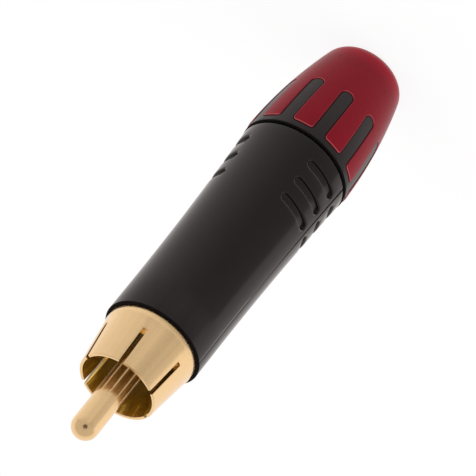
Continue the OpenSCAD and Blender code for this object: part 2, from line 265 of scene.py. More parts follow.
class InnerSettings(bpy.types.PropertyGroup):
    """Finish of the pieces inside the plug."""

    insulator: colour("Insulator", "Colour of the insulator", 0.11, 0.09, 0.07)
    sleeve: colour("Sleeve", "Colour of the insulating sleeve", 0.72, 0.71, 0.67)
    chuck: colour("Chuck", "Colour of the chuck", 0.03, 0.03, 0.032)


class StageSettings(bpy.types.PropertyGroup):
    """The photographer's table: camera, floor and room."""

    azimuth: angle("Azimuth", "Direction of the camera around the plug", -27.5)
    elevation: angle("Elevation", "Height of the camera above the horizon", 34.79)
    roll: angle("Roll", "Turn of the camera about its own axis", 38.66)
    distance: length("Distance", "Distance of the camera", 500)
    view_w: length("View width", "Width of the picture at the plug", 52.77)
    aim_z: length("Aim height", "Height on the axis that the camera aims at", 28.62)
    aim_right: length("Aim right", "Shift of the aim to the right in the picture", -0.0215)
    aim_up: length("Aim up", "Shift of the aim upwards in the picture", -0.2837)
    floor: colour("Floor", "Colour of the floor", 0.82, 0.82, 0.82)
    glow: share("Glow", "Share of the floor's light that doesn't come from the lamps", 0.5)
    seen_glow: share("Seen glow", "Share added where the camera or a reflection sees the floor", 0.36)
    lift: share("Lift", "Brightness added where the camera sees the floor", 0.03)
    room: colour("Room", "Tint of the room in reflections", 1, 0.93, 0.91)
    world: share("World", "Brightness of the room", 0.5)
    front_shine: share("Front shine", "Brightness added in reflections to the camera's side", 0.12)
    back_shine: share("Back shine", "Brightness added in reflections to the far side", 0.45)
    lens_dark: share("Lens", "Brightness that the camera takes away in reflections", 0.6)
    dark: share("Dark side", "Darkness of the floor's dark side in reflections", 0.58)
    dark_turn: angle("Dark side turn", "Turn of the dark side from the camera's direction", -55)
    dark_end: angle("Dark side end", "Turn of the dark side's sharp end from the camera's direction", -75)
    far_turn: angle("Far end turn", "Further turn of that end far from the plug", 11)


class Wire:
    """An output socket in a node tree, on which Python's operators add Math nodes."""

    def __init__(self, tree, socket=None):
        self.tree = tree
        self.socket = socket

    def node(self, kind, settings=None, values=None, output=0):
        """Adds a node of a kind: first its settings, then the numbers or wires of its sockets."""
        made = self.tree.nodes.new(kind)
        for key, value in (settings or {}).items():
            setattr(made, key, value)
        for key, value in (values or {}).items():
            if isinstance(value, Wire):
                self.tree.links.new(value.socket, made.inputs[key])
            else:
                made.inputs[key].default_value = value
        return Wire(self.tree, made.outputs[output] if len(made.outputs) else None)

    def maths(self, operation, *terms):
        """A Math node on wires or numbers."""
        return self.node("ShaderNodeMath", {"operation": operation}, dict(enumerate(terms)))

    def __add__(self, other):
        return self.maths("ADD", self, other)

    __radd__ = __add__

    def __sub__(self, other):
        return self.maths("SUBTRACT", self, other)

    def __rsub__(self, other):
        return self.maths("SUBTRACT", other, self)

    def __mul__(self, other):
        return self.maths("MULTIPLY", self, other)

    __rmul__ = __mul__

    def vector(self, operation, *terms, output="Vector"):
        """A Vector Math node on wires or vectors."""
        return self.node("ShaderNodeVectorMath", {"operation": operation}, dict(enumerate(terms)), output)

    def place(self):
        """Places on the piece, in metres."""
        return self.node("ShaderNodeTexCoord", output="Object")

    def millimetres(self, stretch=(1, 1, 1)):
        """Places on the piece in millimetres, stretched along each axis."""
        return self.vector("MULTIPLY", self.place(), [s / MM for s in stretch])

    def towards(self, way, direction):
        """How far a way reaches in a direction."""
        return self.vector("DOT_PRODUCT", way, direction, output="Value")

    def height(self):
        """Height on the piece along the plug's axis."""
        return self.towards(self.place(), UP)

    def radius(self):
        """Distance on the piece from the plug's axis."""
        return self.vector("LENGTH", self.vector("MULTIPLY", self.place(), (1, 1, 0)), output="Value")

    def frontward(self):
        """How far the surface faces the tip of the pin, from -1 to 1."""
        return self.towards(self.node("ShaderNodeTexCoord", output="Normal"), UP)

    def depth(self):
        """Depth below the piece's turned outline, in roundings of its edges."""
        return self.node("ShaderNodeAttribute", {"attribute_name": DEPTH}, output="Fac")

    def noise(self, place, scale, detail):
        """Smooth noise from 0 to 1 over a place."""
        return self.node("ShaderNodeTexNoise", None, {"Vector": place, "Scale": scale, "Detail": detail})

    def swing(self, amount):
        """Noise that swings about zero, by an amount."""
        return amount * (self - 0.5)

    def between(self, factor, first, second):
        """A colour between two colours or colour wires."""
        first, second = (c if isinstance(c, Wire) else (*c, 1) for c in (first, second))
        return self.node("ShaderNodeMix", {"data_type": "RGBA"}, {0: factor, 6: first, 7: second}, output=2)

    def ramp(self, value, start, end, low=0.0, high=1.0):
        """A smooth change from low at the start value to high at the end value."""
        values = {"Value": value, "From Min": start, "From Max": end, "To Min": low, "To Max": high}
        return self.node("ShaderNodeMapRange", {"interpolation_type": "SMOOTHSTEP"}, values)

    def band(self, value, start, full, fade, end):
        """A smooth rise from start to full, and a smooth fall from fade to end."""
        return self.ramp(value, start, full) * self.ramp(value, end, fade)

    def past(self, value, limit, start, end):
        """A smooth rise between two distances past a limit, given in millimetres."""
        return self.ramp(value, limit + start * MM, limit + end * MM)

    def bump(self, height, distance, strength):
        """A bumped normal from a height."""
        values = {"Height": height, "Distance": distance, "Strength": strength}
        return self.node("ShaderNodeBump", None, values)


def shaded(tint, factor):
    """A colour made darker or lighter by a factor."""
    return tuple(min(1, channel * factor) for channel in tint)


def finish_of(name, constants):
    """A new material with fixed shader values, and the wire and shader to work on."""
    made = bpy.data.materials.new(name)
    made.use_nodes = True
    shader = made.node_tree.nodes["Principled BSDF"]
    for key, value in constants.items():
        shader.inputs[key].default_value = value
    return made, Wire(made.node_tree), shader


def feed(shader, **wires):
    """Links wires to the shader's sockets, named with underscores for spaces."""
    for key, wire in wires.items():
        wire.tree.links.new(wire.socket, shader.inputs[key.replace("_", " ")])


def ring_taper(s):
    """Growth of the ring's radius per length from the mouth to the band."""
    return (s.root_r - s.mouth_r) / (RING_MOUTH - SHELL_FRONT - s.band_len - s.band_bevel)


def gold_plate(s):
    """Polished gold plate with turning lines, with painted shade on the cut faces of the slots, and a
    brighter, yellower plate in the bore below the rim that stands in for the tint of its inner reflections.
    """
    made, wire, shader = finish_of("gold_plate", {"Metallic": 1.0, "Coat Roughness": 0.08})
    turning = wire.noise(wire.millimetres((0.4, 0.4, 9)), scale=3.0, detail=3)
    cloud = wire.noise(wire.millimetres(), scale=0.6, detail=2)
    spots = wire.ramp(wire.noise(wire.millimetres(), scale=28.0, detail=1), 0.4, 0.6)
    roughness = s.roughness + s.haze * spots + 0.05 * turning + cloud.swing(0.05)
    z = wire.height()
    r = wire.radius()
    # Painted shade: the cut faces of the slots, below the outer surface and away from the bore, the rim and
    # the slot floor
    in_wall = wire.past(s.mouth_r + ring_taper(s) * (RING_MOUTH - z) - r, 0, 0.03, 0.12)
    off_bore = wire.past(r, s.bore_r, 0.28, 0.36)
    off_rim = wire.past(z, RING_MOUTH, -0.1, -0.25)
    off_floor = wire.past(z, RING_MOUTH - s.slot_len, 0.1, 0.3)
    cut = in_wall * off_bore * off_rim * off_floor
    # Painted reflection: the bore below the rim gets its own brighter, yellower plate colour, and no coat
    off_wall = wire.past(r, s.bore_r, 0.36, 0.28)
    off_pin = wire.past(r, 0, 2.0, 2.4)
    inside = off_wall * off_pin * wire.past(z, RING_MOUTH, -0.12, -0.3)
    tint = wire.between(cloud, shaded(s.plate, 0.97), shaded(s.plate, 1.02))
    # Painted shade darkens the plate on the slots' cut faces
    tint = wire.between(cut, tint, shaded(s.plate, 0.35))
    tint = wire.between(inside, tint, s.bore)
    coat = s.coat * (1.0 - inside)
    normal = wire.bump(turning, distance=0.0008 * MM, strength=0.35)
    feed(shader, Base_Color=tint, Roughness=roughness, Coat_Weight=coat, Normal=normal)
    return made


def satin_coat(s):
    """Satin black coat with a trace of orange peel, a painted highlight on the grooves' rearward-facing lips,
    and painted shade with dullness at its front rim by the band.
    """
    gloss = {"Specular IOR Level": 0.32, "Specular Tint": (1, 0.9, 0.88, 1)}
    made, wire, shader = finish_of("satin_coat", gloss)
    peel = wire.noise(wire.millimetres(), scale=5.0, detail=3)
    cloud = wire.noise(wire.millimetres((1, 1, 0.35)), scale=0.5, detail=3)
    # Painted highlight: the lips of the grooves that face rearwards get a lighter colour
    lip = wire.band(wire.depth(), 0.02, 0.1, 0.4, 0.7)
    rearward = wire.ramp(wire.frontward(), -0.1, -0.5)
    # Painted shade at the seam: the front rim by the gold band is darkened, and made dull
    rim = wire.past(wire.height(), SHELL_FRONT, -0.16, -0.06)
    tint = wire.between(cloud, shaded(s.coat, 0.8), shaded(s.coat, 1.25))
    tint = wire.between(lip * rearward, tint, s.groove_lip_highlight)
    tint = wire.between(rim, tint, shaded(s.coat, PAINTED_SEAM_SHADE))
    roughness = s.roughness + cloud.swing(0.1) + peel.swing(0.06) + 0.8 * rim
    normal = wire.bump(peel, distance=0.004 * MM, strength=0.35)
    feed(shader, Base_Color=tint, Roughness=roughness, Normal=normal)
    return made


def soft_red(s):
    """Matt red soft moulding with a fine grain, a painted highlight on its lips, painted light on its rear
    end, and painted shade on the walls of its windows and finger fronts.
    """
    made, wire, shader = finish_of("soft_red", {"Specular IOR Level": 0.1})
    grain = wire.noise(wire.millimetres(), scale=11.0, detail=3)
    cloud = wire.noise(wire.millimetres(), scale=0.7, detail=3)
    mottle = 0.6 * cloud + 0.4 * grain
    depth = wire.depth()
    front = wire.frontward()
    # Painted highlight: a lighter colour on the rounded lips, strongest where they face the pin's tip
    lip = wire.band(depth, 0.004, 0.04, 0.15, 0.24) * wire.ramp(front, 0.0, 0.4, 0.2, 1.0)
    # Painted shade: the walls below the lips are darkened, from a shallower depth on the side walls than on
    # the front walls
    wall_shade_start = wire.ramp(front, 0.1, 0.4, 0.06, 0.2)
    wall = wire.ramp(depth, wall_shade_start, wall_shade_start + 0.14)
    # Painted light: the rounded rear end is painted a brighter red
    lit_rear_end = wire.past(wire.height(), 0, 3.4, 0.3)
    tint = wire.between(mottle, shaded(s.red, 0.86), shaded(s.red, 1.16))
    tint = wire.between(lit_rear_end, tint, s.tail)
    tint = wire.between(lip, tint, s.lip)
    tint = wire.between(wall, tint, shaded(s.red, 0.22))
    roughness = s.red_roughness + grain.swing(0.12) + cloud.swing(0.1)
    normal = wire.bump(grain, distance=0.008 * MM, strength=0.4)
    feed(shader, Base_Color=tint, Roughness=roughness, Normal=normal)
    return made


def moulded(name, tint, roughness, grain_scale, grain_depth, rim_z=None):
    """Moulded plastic with an eroded grain, dull and with painted shade at its rim by a seam, if it has one.
    """
    gloss = {"Specular IOR Level": 0.3, "Specular Tint": (1, 0.92, 0.9, 1)}
    made, wire, shader = finish_of(name, gloss)
    grain = wire.noise(wire.millimetres(), scale=grain_scale, detail=3)
    cloud = wire.noise(wire.millimetres(), scale=0.6, detail=2)
    shade = wire.between(cloud, shaded(tint, 0.85), shaded(tint, 1.15))
    rough = roughness + grain.swing(0.1) + cloud.swing(0.06)
    if rim_z is not None:
        # Painted shade at the seam: the rim below the front face is darkened, and made dull
        rim = wire.past(wire.height(), rim_z, -0.2, -0.12)
        shade = wire.between(rim, shade, shaded(tint, PAINTED_SEAM_SHADE))
        rough = rough + 0.6 * rim
    normal = wire.bump(grain, distance=grain_depth, strength=0.5)
    feed(shader, Base_Color=shade, Roughness=rough, Normal=normal)
    return made


def drawn_tube(tint):
    """Natural tube with fine lines along its length."""
    made, wire, shader = finish_of("drawn_tube", {"Specular IOR Level": 0.5})
    lines = wire.noise(wire.millimetres((4, 4, 0.05)), scale=3.0, detail=2)
    cloud = wire.noise(wire.millimetres(), scale=0.4, detail=2)
    shade = wire.between(cloud, shaded(tint, 0.93), shaded(tint, 1.04))
    normal = wire.bump(lines, distance=0.003 * MM, strength=0.4)
    feed(shader, Base_Color=shade, Roughness=0.3 + 0.15 * lines, Normal=normal)
    return made


def rounded(corners):
    """Points of a closed (r, z) outline, with an arc at each (r, z, rounding) corner."""
    points = []
    for before, here, after in zip(corners[-1:] + corners[:-1], corners, corners[1:] + corners[:1]):
        corner, rounding = Vector(here[:2]), here[2]
        if not rounding:
            points.append(corner)
            continue
        to_before = (Vector(before[:2]) - corner).normalized()
        to_after = (Vector(after[:2]) - corner).normalized()
        half = to_before.angle(to_after) / 2
        centre = corner + (to_before + to_after).normalized() * (rounding / math.sin(half))
        start = corner + to_before * (rounding / math.tan(half)) - centre
        end = corner + to_after * (rounding / math.tan(half)) - centre
        points += [centre + rounding * start.slerp(end, k / ARC_STEPS) for k in range(ARC_STEPS + 1)]
    return points


def stretch(start, end, count):
    """Plain corners along a straight (r, z) line, both ends included."""
    start, end = Vector(start), Vector(end)
    return [(*start.lerp(end, k / count), 0) for k in range(count + 1)]


def even_columns(extra=()):
    """Angles of the columns of a turned piece, with a few more where a fine line runs."""
    return sorted([FULL_TURN * k / COLUMNS for k in range(COLUMNS)] + [a % FULL_TURN for a in extra])


def turned(outline, columns, relief=None):
    """Mesh of a closed (r, z) outline turned about the axis; relief(angle, r, z) is added to the radius."""
    mesh = bmesh.new()
    rings = []
    for r, z in outline:
        radii = [r + (relief(a, r, z) if relief else 0) for a in columns]
        rings.append([mesh.verts.new((radius * math.cos(a), radius * math.sin(a), z))
                      for a, radius in zip(columns, radii)])
    for low, high in zip(rings, rings[1:] + rings[:1]):
        for k in range(len(columns)):
            mesh.faces.new((low[k - 1], low[k], high[k], high[k - 1]))
    bmesh.ops.recalc_face_normals(mesh, faces=mesh.faces)
    return mesh


def thread_ridge(a, z, z_low, z_high, shift=0.0):
    """Share of a right-hand thread's height at an angle and height, fading out at both ends."""
    across = abs((z / THREAD_PITCH - a / FULL_TURN + shift) % 1 - 0.5)
    ridge = min(1, max(0, (THREAD_FOOT - across) / THREAD_FLANK))
    fade = min(1, max(0, min(z - z_low, z_high - z) / (THREAD_RUNOUT * THREAD_PITCH)))
    return ridge * fade


def lip_levels(edge):
    """Levels of a rounded lip, as (gap, depth) from above the surface down to the straight wall."""
    first_gap = edge * (math.sin(LIP_START) - 1)
    first_depth = edge * (1 - math.cos(LIP_START))
    top_gap = first_gap - (first_depth + LIP_ABOVE) / math.tan(LIP_START)
    levels = [(top_gap, -LIP_CLEAR), (top_gap, -LIP_ABOVE)]
    for k in range(LIP_STEPS + 1):
        t = LIP_START + (math.pi / 2 - LIP_START) * k / LIP_STEPS
        levels.append((edge * (math.sin(t) - 1), edge * (1 - math.cos(t))))
    return levels


def add_cutter(mesh, sides, levels, place):
    """Adds a closed cutter to a mesh: sides(gap) gives two matching rows of points for each level."""
    rows = []
    for gap, depth in levels:
        rows.append([[mesh.verts.new(place(across, z, depth)) for across, z in side] for side in sides(gap)])
    for first, second in (rows[0], rows[-1]):
        for k in range(1, len(first)):
            mesh.faces.new((first[k - 1], first[k], second[k], second[k - 1]))
    loops = [first + second[::-1] for first, second in rows]
    for outer, inner in zip(loops, loops[1:]):
        for k in range(len(outer)):
            mesh.faces.new((outer[k - 1], outer[k], inner[k], inner[k - 1]))


def new_piece(name, mesh, finish):
    """An object from a mesh, with its finish."""
    data = bpy.data.meshes.new(name)
    mesh.to_mesh(data)
    mesh.free()
    data.materials.append(finish)
    piece = bpy.data.objects.new(name, data)
    bpy.context.scene.collection.objects.link(piece)
    return piece


def carve(piece, tool_mesh, operation="DIFFERENCE"):
    """Cuts a mesh from a piece, or joins it on."""
    bmesh.ops.recalc_face_normals(tool_mesh, faces=tool_mesh.faces)
    tool = new_piece("tool", tool_mesh, piece.data.materials[0])
    cut = piece.modifiers.new("carve", "BOOLEAN")
    cut.operation = operation
    cut.solver = "EXACT"
    cut.object = tool
    graph = bpy.context.evaluated_depsgraph_get()
    carved = bpy.data.meshes.new_from_object(piece.evaluated_get(graph))
    piece.modifiers.clear()
    rough, piece.data = piece.data, carved
    carved.name = piece.name
    bpy.data.meshes.remove(rough)
    bpy.data.meshes.remove(tool.data)


def note_depth(piece, outline, edge):
    """Notes how far each place lies below a turned outline, which tells the lips from the sides."""
    depth = piece.data.attributes.new(DEPTH, "FLOAT", "POINT")
    for vertex, note in zip(piece.data.vertices, depth.data):
        note.value = (outline(vertex.co.z) - vertex.co.xy.length) / edge


def settle(piece, body, slot, *nodes):
    """Smooths a finished piece, lets it ride on its body and stand for its nodes."""
    piece.data.shade_smooth()
    piece.data.set_sharp_from_angle(angle=SHARP)
    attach(piece, body)
    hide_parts(*nodes)


def dress(node, finish):
    """Gives a node of the frame its finish."""
    frame["nodes"][node].data.materials.clear()
    frame["nodes"][node].data.materials.append(finish)


def flat_place(turn, surface_r):
    """Placing of a straight cut: across and up on a round surface, at a depth below it."""
    matrix = Matrix.Rotation(turn, 3, "Z")

    def place(across, z, depth):
        r = surface_r(z) - depth
        return matrix @ Vector((math.sqrt(r * r - across * across), across, z))
    return place


class PLUG_OT_contact(bpy.types.Operator):
    """Make the split ring, and finish the pin and the insulator in it"""

    bl_idname = "plug.contact"
    bl_label = "Contact"

    def execute(self, context):
        settings = context.scene.plug_contact
        gold = gold_plate(settings)
        dress("center_pin", gold)
        dress("insulator", moulded(
            "insulator_black", context.scene.plug_inner.insulator,
            roughness=0.45, grain_scale=6.0, grain_depth=0.004 * MM))
        ring = new_piece("split_ring", self.ring_mesh(settings), gold)
        carve(ring, self.tongue_mesh(settings), "UNION")
        carve(ring, self.slot_mesh(settings))
        settle(ring, "contact", "gold_plate", "ground_contact")
        return {"FINISHED"}

    def ring_mesh(self, s):
        """The ring, its band, the thread behind it and the collar, before the slots are cut."""
        band_rear = SHELL_FRONT + s.band_gap
        band_front = SHELL_FRONT + s.band_len
        relief_z = band_rear - s.relief_w
        relief_r = s.thread_r - s.relief_depth
        thread_rear = band_rear - s.thread_len
        collar_rear = thread_rear - s.collar_len
        pocket = SHELL_FRONT + s.floor_rise - s.head_t
        rows = round(THREAD_ROWS * (relief_z - thread_rear) / THREAD_PITCH)
        corners = [
            (s.mouth_r, RING_MOUTH, s.rim_round),
            (s.root_r, band_front + s.band_bevel, s.band_bevel),
            (BAND_R, band_front, s.band_bevel),
            (BAND_R, band_rear, BAND_EDGE),
            (relief_r, band_rear, 0),
            (relief_r, relief_z, 0),
            *stretch((s.thread_r, relief_z), (s.thread_r, thread_rear), rows),
            (s.collar_r, thread_rear, 0),
            (s.collar_r, collar_rear, TURNED_EDGE),
            (s.stem_r, collar_rear, 0),
            (s.stem_r, pocket, 0),
            (s.bore_r, pocket, 0),
            (s.bore_r, RING_MOUTH - s.lead_len, 0),
            (s.bore_r + s.lead, RING_MOUTH, s.rim_round),
        ]

        def relief(a, r, z):
            on_thread = abs(r - s.thread_r) < HAIR and z < relief_z + HAIR
            return MALE_H * thread_ridge(a, z, thread_rear, relief_z) if on_thread else 0
        return turned(rounded(corners), even_columns(), relief)

    def tongue_mesh(self, s):
        """The solder tongue, a part of a tube that starts inside the collar."""
        collar_rear = SHELL_FRONT + s.band_gap - s.thread_len - s.collar_len
        outer = s.collar_r - HAIR
        inner = outer - s.tongue_wall
        front = collar_rear + OVERLAP
        section = ((outer, TONGUE_REAR), (outer, front), (inner, front), (inner, TONGUE_REAR))
        mesh = bmesh.new()
        steps = 48
        rows = []
        for k in range(steps + 1):
            a = s.tongue_angle * (k / steps - 0.5)
            rows.append([mesh.verts.new((r * math.cos(a), r * math.sin(a), z)) for r, z in section])
        for first, second in zip(rows, rows[1:]):
            for k in range(len(section)):
                mesh.faces.new((first[k - 1], first[k], second[k], second[k - 1]))
        mesh.faces.new(rows[0])
        mesh.faces.new(rows[-1])
        return mesh

    def slot_mesh(self, s):
        """Cutters of the slots and of the wire hole."""
        mesh = bmesh.new()
        slot_floor = RING_MOUTH - s.slot_len
        half_w = s.slot_w / 2
        corner = 0.2 * half_w
        cut_len = s.slot_len + 2 * OVERLAP
        cut_depth = 1.4 * MM
        rows = 8

        def surface_r(z):
            return s.mouth_r + ring_taper(s) * (RING_MOUTH - z)

        def sides(gap):
            right = [(corner, slot_floor + gap),
                     (half_w - corner - gap, slot_floor + gap),
                     (half_w - gap, slot_floor + gap + corner)]
            right += [(half_w - gap, slot_floor + cut_len * k / rows) for k in range(1, rows + 1)]
            return right, [(-across, z) for across, z in right]
        levels = lip_levels(s.slot_edge) + [(0, cut_depth)]
        for k in range(s.slots):
            add_cutter(mesh, sides, levels, flat_place(s.slot_angle + FULL_TURN * k / s.slots, surface_r))
        hole = Matrix.Translation((s.collar_r, 0, TONGUE_REAR + s.wire_hole_inset))
        hole = hole @ Matrix.Rotation(math.pi / 2, 4, "Y")
        bmesh.ops.create_cone(mesh, cap_ends=True, segments=HOLE_SIDES, radius1=s.wire_hole_r,
                              radius2=s.wire_hole_r, depth=2 * MM, matrix=hole)
        return mesh


class PLUG_OT_shell(bpy.types.Operator):
    """Make the flared black shell with its finger grooves and threads"""

    bl_idname = "plug.shell"
    bl_label = "Shell"

    def execute(self, context):
        settings = context.scene.plug_shell
        shell = new_piece("black_shell", self.shell_mesh(settings), satin_coat(settings))
        carve(shell, self.groove_mesh(settings))
        note_depth(shell, lambda z: self.radius_at(settings, z), settings.groove_edge)
        settle(shell, "shell_body", "shell_black", "shell")
        return {"FINISHED"}

    def radius_at(self, s, z):
        """Outer radius of the shell at a height."""
        flare_z = CAP_FRONT + s.seam + s.flare_len
        return s.front_r + (s.rear_r - s.front_r) * (max(0, flare_z - z) / s.flare_len) ** 2

    def shell_mesh(self, s):
        """The turned shell with its threads and parting lines, before the grooves are cut."""
        shoulder = CAP_FRONT + s.seam
        bore_step = SHELL_FRONT - s.thread_len
        seat = shoulder + s.seat_rise
        spigot_rows = round(THREAD_ROWS * (shoulder - SPIGOT_REAR) / THREAD_PITCH)
        bore_rows = round(THREAD_ROWS * s.thread_len / THREAD_PITCH)
        flare_rows = 25
        flare = [shoulder + s.flare_len * (k + 1) / flare_rows for k in range(flare_rows)]
        corners = [
            (s.spigot_bore_r, SPIGOT_REAR, TURNED_EDGE),
            *stretch((s.spigot_r, SPIGOT_REAR), (s.spigot_r, shoulder), spigot_rows),
            (s.rear_r, shoulder, s.rear_edge),
            *[(self.radius_at(s, z), z, 0) for z in flare],
            (s.front_r, SHELL_FRONT, s.front_edge),
            *stretch((s.thread_bore_r, SHELL_FRONT), (s.thread_bore_r, bore_step), bore_rows),
            (s.bore_r, bore_step, 0),
            (s.bore_r, seat, 0),
            (s.spigot_bore_r, seat, 0),
        ]

        def relief(a, r, z):
            if abs(r - s.spigot_r) < HAIR and z < shoulder:
                return MALE_H * thread_ridge(a, z, SPIGOT_REAR, shoulder)
            if abs(r - s.thread_bore_r) < HAIR:
                return -FEMALE_H * thread_ridge(a, z, bore_step, SHELL_FRONT, 0.5)
            on_side = r > s.front_r - s.front_edge / 2 and z < SHELL_FRONT
            from_parting = abs((a + math.pi / 2) % math.pi - math.pi / 2)
            sunk = min(1, max(0, (s.parting_w / 2 + s.parting_edge - from_parting) / s.parting_edge))
            faded = min(1, max(0, (z - shoulder) / s.parting_fade))
            return -s.parting_depth * sunk * (1 - PARTING_LOSS * faded) if on_side else 0
        edges = (s.parting_w / 2, s.parting_w / 2 + s.parting_edge)
        lines = [side + turn * edge for side in (0, math.pi) for turn in (-1, 1) for edge in edges]
        return turned(rounded(corners), even_columns(lines), relief)

    def groove_mesh(self, s):
        """Cutters of the finger grooves and of the keyways."""
        mesh = bmesh.new()
        fillet = 0.12 * MM
        fillet_steps = 3
        bend = [math.pi / 2 * k / fillet_steps for k in range(fillet_steps + 1)]
        levels = lip_levels(s.groove_edge)
        levels += [(fillet * (1 - math.cos(t)), s.groove_depth - fillet + fillet * math.sin(t)) for t in bend]
        for k in range(s.groove_count):
            z_mid = CAP_FRONT + s.seam + s.groove_first + k * s.groove_pitch
            for face in (math.pi / 2, -math.pi / 2):
                for side in (1, -1):
                    self.add_groove(mesh, s, z_mid, face, side, levels)
        key_inner = 3 * MM
        key_depth = s.key_r - key_inner
        size = Matrix.Diagonal((key_depth, s.key_w, s.key_len + OVERLAP, 1))
        for side in (1, -1):
            centre = (side * (key_inner + key_depth / 2), 0, SPIGOT_REAR + s.key_len / 2 - OVERLAP / 2)
            bmesh.ops.create_cube(mesh, size=1, matrix=Matrix.Translation(centre) @ size)
        return mesh

    def add_groove(self, mesh, s, z_mid, face, side, levels):
        """Adds the cutter of one groove, which follows the shell's round side."""
        r_mid = self.radius_at(s, z_mid)
        ends = 10
        runs = 28

        def sides(gap):
            half = s.groove_w / 2 - gap
            bend = [math.pi * (k + 0.5) / (2 * ends + 1) for k in range(ends)]
            start = [(s.groove_from * r_mid - half * math.cos(t), half * math.sin(t)) for t in bend]
            straight = [(r_mid * (s.groove_from + (s.groove_to - s.groove_from) * k / runs), half)
                        for k in range(runs + 1)]
            end = [(s.groove_to * r_mid + half * math.cos(t), half * math.sin(t)) for t in bend[::-1]]
            row = start + straight + end
            return [(across, z_mid + up) for across, up in row], [(across, z_mid - up) for across, up in row]

        def place(across, z, depth):
            r = self.radius_at(s, z) - depth
            a = face + side * across / r_mid
            return Vector((r * math.cos(a), r * math.sin(a), z))
        add_cutter(mesh, sides, levels, place)


class PLUG_OT_cap(bpy.types.Operator):
    """Make the red grip of the rear cap, and finish the black core under it"""

    bl_idname = "plug.cap"
    bl_label = "Cap"

    def execute(self, context):
        settings = context.scene.plug_cap
        dress("cap_core", moulded(
            "core_black", settings.black, settings.black_roughness,
            grain_scale=7.0, grain_depth=0.01 * MM, rim_z=CAP_FRONT))
        grip = new_piece("soft_grip", self.grip_mesh(settings), soft_red(settings))
        carve(grip, self.window_mesh(settings))
        note_depth(grip, lambda z: self.radius_at(settings, z), settings.grip_edge)
        settle(grip, "rear_cap", "grip_red", "grip_boot")
        return {"FINISHED"}

    def radius_at(self, s, z, depth=0.0):
        """Radius of the cap's outline at a height, set back from the surface by a depth."""
        side_x = s.cap_r - s.side_r
        side_z = CAP_FRONT + s.crown_rise
        slope = (side_z - s.end_rise) / (s.side_r - s.end_round)
        end_x = side_x + (s.side_r - s.end_round) * math.sqrt(1 - slope * slope)
        if z > s.end_rise - (s.end_round - depth) * slope:
            return side_x + math.sqrt((s.side_r - depth) ** 2 - (z - side_z) ** 2)
        return end_x + math.sqrt((s.end_round - depth) ** 2 - (z - s.end_rise) ** 2)

    def grip_mesh(self, s):
        """The grip as one turned cup, before the windows are cut."""
        end_rows = 14
        side_rows = 36
        heights = [s.end_rise * (1 - math.cos(math.pi / 2 * k / end_rows)) for k in range(end_rows)]
        heights += [s.end_rise + (FINGER_FRONT - s.end_rise) * k / side_rows for k in range(side_rows)]
        inside = [z for z in heights if z > s.grip_end_t]
        corners = [
            (CABLE_R, s.grip_end_t, 0),
            (CABLE_R, 0, HOLE_EDGE),
            *[(self.radius_at(s, z), z, 0) for z in heights],
            (self.radius_at(s, FINGER_FRONT), FINGER_FRONT, s.grip_edge),
            (self.radius_at(s, FINGER_FRONT, s.grip_t), FINGER_FRONT, 0),
            *[(self.radius_at(s, z, s.grip_t), z, 0) for z in inside[::-1]],
            (self.radius_at(s, s.grip_end_t, s.grip_t), s.grip_end_t, 0),
        ]
        return turned(rounded(corners), even_columns())

    def window_mesh(self, s):
        """Cutters of the windows between the fingers."""
        mesh = bmesh.new()
        half_w = s.window_w / 2
        end_z = FINGER_FRONT - s.window_len + half_w
        corner_z = FINGER_FRONT - s.finger_corner + LIP_ABOVE
        ends = 12
        rows = 20

        def sides(gap):
            bend = [math.pi / 2 * (k + 0.5) / ends for k in range(ends)]
            right = [((half_w - gap) * math.sin(t), end_z - (half_w - gap) * math.cos(t)) for t in bend]
            right += [(half_w - gap, end_z + (corner_z - end_z) * k / rows) for k in range(rows + 1)]
            right += [(half_w + s.finger_corner - (s.finger_corner + gap) * math.cos(t),
                       corner_z + (s.finger_corner + gap) * math.sin(t)) for t in bend[::2]]
            right += [(half_w + s.finger_corner, FINGER_FRONT + OVERLAP)]
            return right, [(-across, z) for across, z in right]
        levels = lip_levels(s.grip_edge) + [(0, s.grip_t + OVERLAP)]
        for k in range(s.fingers):
            turn = s.window_angle + FULL_TURN * k / s.fingers
            add_cutter(mesh, sides, levels, flat_place(turn, lambda z: self.radius_at(s, z)))
        return mesh


class PLUG_OT_inner(bpy.types.Operator):
    """Finish the sleeve and the chuck inside the plug"""

    bl_idname = "plug.inner"
    bl_label = "Inner pieces"

    def execute(self, context):
        settings = context.scene.plug_inner
        dress("insulating_sleeve", drawn_tube(settings.sleeve))
        dress("chuck", moulded(
            "chuck_black", settings.chuck, roughness=0.38, grain_scale=5.0, grain_depth=0.006 * MM))
        return {"FINISHED"}


